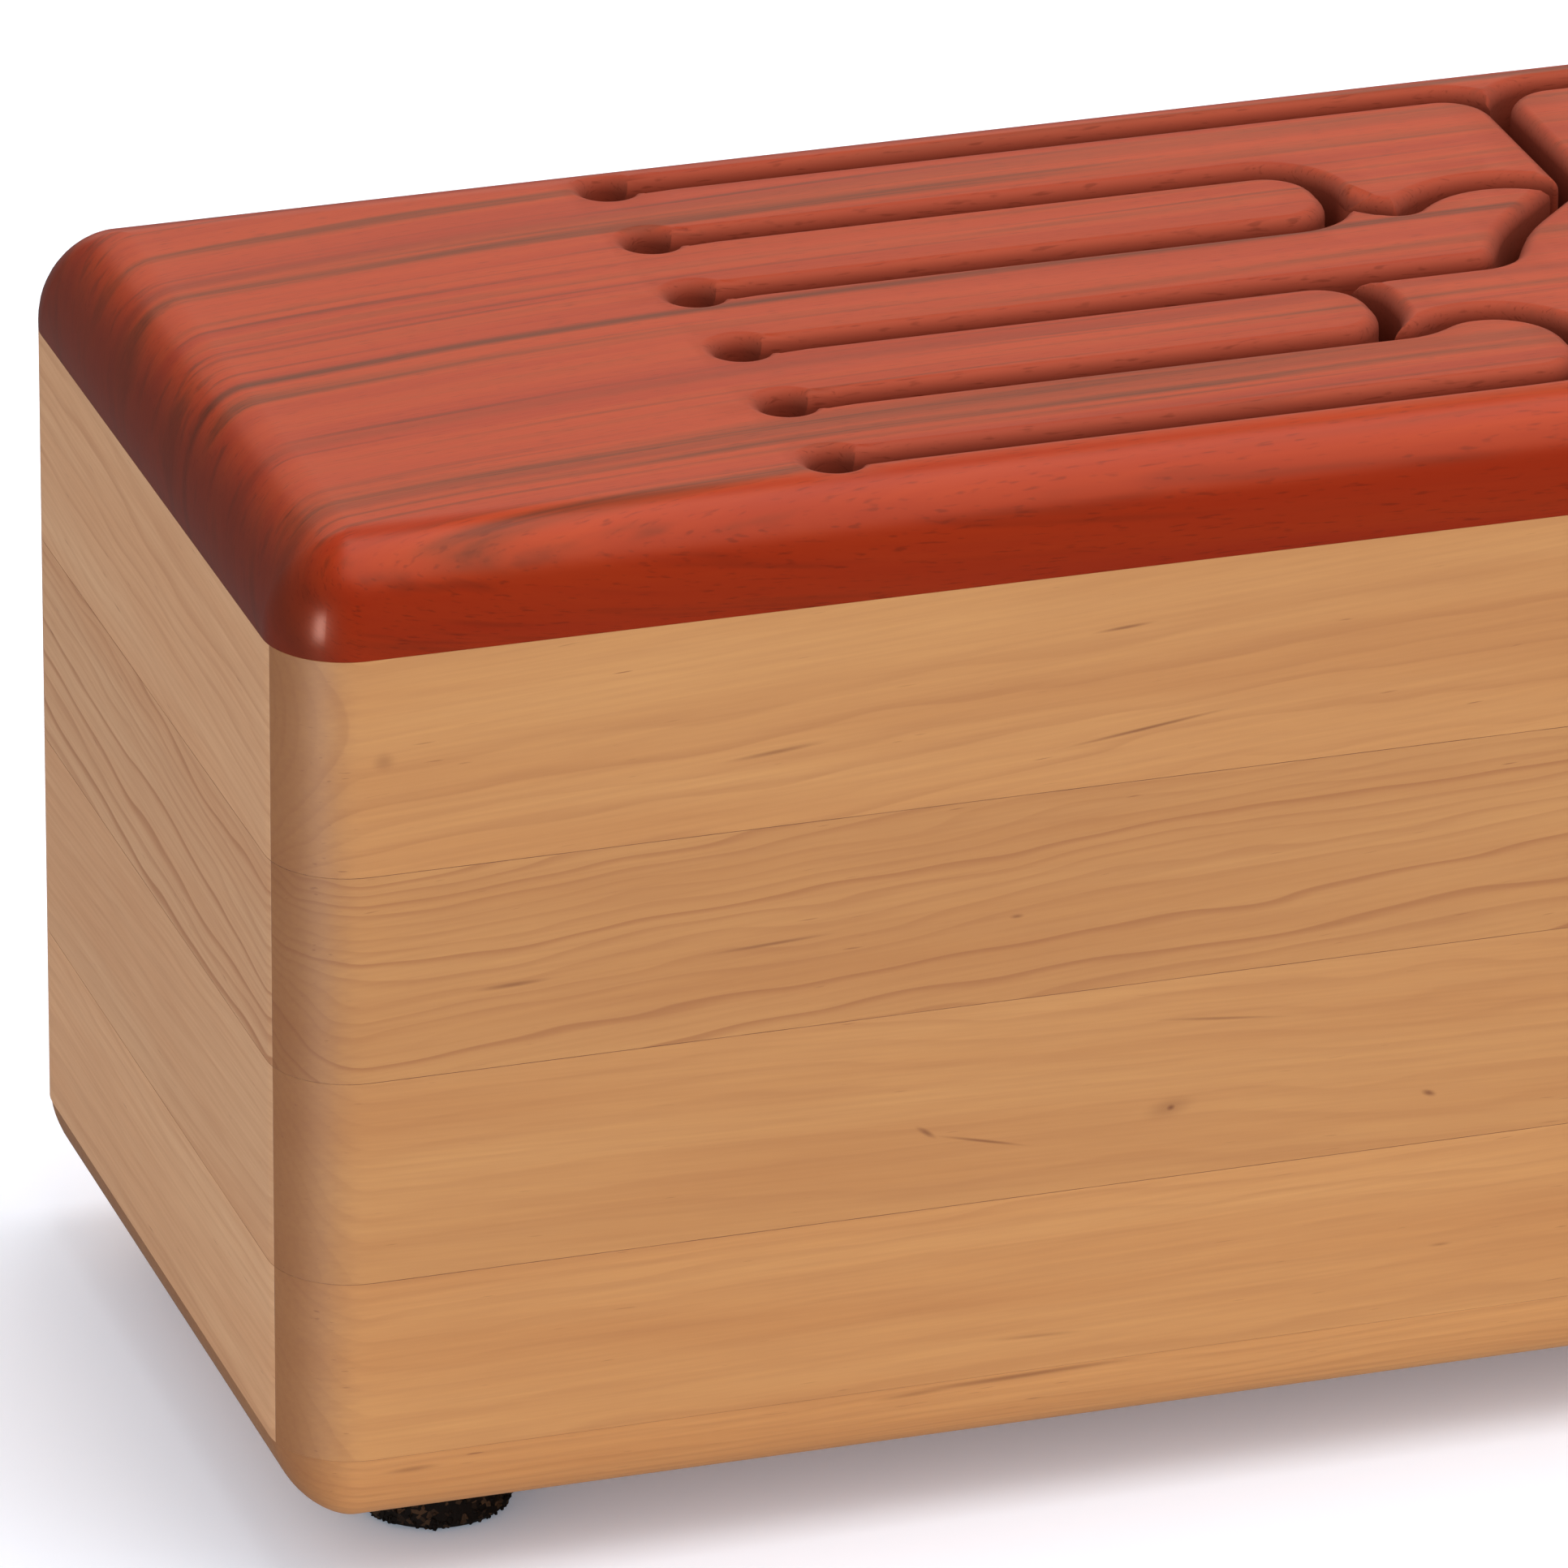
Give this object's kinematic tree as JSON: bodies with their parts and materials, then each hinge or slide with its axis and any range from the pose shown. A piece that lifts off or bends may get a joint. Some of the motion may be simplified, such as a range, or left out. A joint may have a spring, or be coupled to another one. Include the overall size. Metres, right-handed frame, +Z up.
{
  "type": "wooden tongue drum",
  "caption": "Long wooden tongue drum: rounded box of glued light boards under a thick red slotted hardwood plate whose curved tongues flex at their roots, on round dark feet.",
  "frame": {"origin": "on the surface the drum stands on, under the middle of its box", "axes": "+X along the drum's length, to the right when seen from the front; +Y from front to back; +Z up"},
  "size_m": [0.57, 0.1806, 0.2072],
  "materials": {
    "padauk": "oiled satin red hardwood, grain along the drum",
    "alder_boards": "oiled satin honey-tan boards, grain along the drum",
    "alder_ends": "oiled satin paler boards, grain across the end",
    "foot_rubber": "matt dark brown crumb rubber"
  },
  "bodies": {
    "box": {"top_plate": "padauk", "front_board_1": "alder_boards", "front_board_2": "alder_boards", "front_board_3": "alder_boards", "front_board_4": "alder_boards", "back_board_1": "alder_boards", "back_board_2": "alder_boards", "back_board_3": "alder_boards", "back_board_4": "alder_boards", "left_end_board_1": "alder_ends", "left_end_board_2": "alder_ends", "left_end_board_3": "alder_ends", "left_end_board_4": "alder_ends", "right_end_board_1": "alder_ends", "right_end_board_2": "alder_ends", "right_end_board_3": "alder_ends", "right_end_board_4": "alder_ends", "bottom_panel": "alder_boards", "foot_front_left": "foot_rubber", "foot_front_right": "foot_rubber", "foot_back_left": "foot_rubber", "foot_back_right": "foot_rubber"},
    "tongue_left_1": {"tongue_left_1": "padauk"},
    "tongue_left_2": {"tongue_left_2": "padauk"},
    "tongue_left_3": {"tongue_left_3": "padauk"},
    "tongue_left_4": {"tongue_left_4": "padauk"},
    "tongue_left_5": {"tongue_left_5": "padauk"},
    "tongue_right_1": {"tongue_right_1": "padauk"},
    "tongue_right_2": {"tongue_right_2": "padauk"},
    "tongue_right_3": {"tongue_right_3": "padauk"},
    "tongue_right_4": {"tongue_right_4": "padauk"},
    "tongue_right_5": {"tongue_right_5": "padauk"}
  },
  "joints": [
    {"name": "tongue_left_1_flex", "type": "hinge", "parent": "box", "child": "tongue_left_1", "pos_m": [-0.1757, 0.0552, 0.1976], "axis": [0, 1, 0], "range_deg": [-0.5, 0.5], "stiffness_Nm_per_rad": 200},
    {"name": "tongue_left_2_flex", "type": "hinge", "parent": "box", "child": "tongue_left_2", "pos_m": [-0.1757, 0.0276, 0.1976], "axis": [0, 1, 0], "range_deg": [-0.5, 0.5], "stiffness_Nm_per_rad": 200},
    {"name": "tongue_left_3_flex", "type": "hinge", "parent": "box", "child": "tongue_left_3", "pos_m": [-0.1757, 0, 0.1976], "axis": [0, 1, 0], "range_deg": [-0.5, 0.5], "stiffness_Nm_per_rad": 200},
    {"name": "tongue_left_4_flex", "type": "hinge", "parent": "box", "child": "tongue_left_4", "pos_m": [-0.1757, -0.0276, 0.1976], "axis": [0, 1, 0], "range_deg": [-0.5, 0.5], "stiffness_Nm_per_rad": 200},
    {"name": "tongue_left_5_flex", "type": "hinge", "parent": "box", "child": "tongue_left_5", "pos_m": [-0.1757, -0.0552, 0.1976], "axis": [0, 1, 0], "range_deg": [-0.5, 0.5], "stiffness_Nm_per_rad": 200},
    {"name": "tongue_right_1_flex", "type": "hinge", "parent": "box", "child": "tongue_right_1", "pos_m": [0.1757, 0.0552, 0.1976], "axis": [0, -1, 0], "range_deg": [-0.5, 0.5], "stiffness_Nm_per_rad": 200},
    {"name": "tongue_right_2_flex", "type": "hinge", "parent": "box", "child": "tongue_right_2", "pos_m": [0.1757, 0.0276, 0.1976], "axis": [0, -1, 0], "range_deg": [-0.5, 0.5], "stiffness_Nm_per_rad": 200},
    {"name": "tongue_right_3_flex", "type": "hinge", "parent": "box", "child": "tongue_right_3", "pos_m": [0.1757, 0, 0.1976], "axis": [0, -1, 0], "range_deg": [-0.5, 0.5], "stiffness_Nm_per_rad": 200},
    {"name": "tongue_right_4_flex", "type": "hinge", "parent": "box", "child": "tongue_right_4", "pos_m": [0.1757, -0.0276, 0.1976], "axis": [0, -1, 0], "range_deg": [-0.5, 0.5], "stiffness_Nm_per_rad": 200},
    {"name": "tongue_right_5_flex", "type": "hinge", "parent": "box", "child": "tongue_right_5", "pos_m": [0.1757, -0.0552, 0.1976], "axis": [0, -1, 0], "range_deg": [-0.5, 0.5], "stiffness_Nm_per_rad": 200}
  ]
}
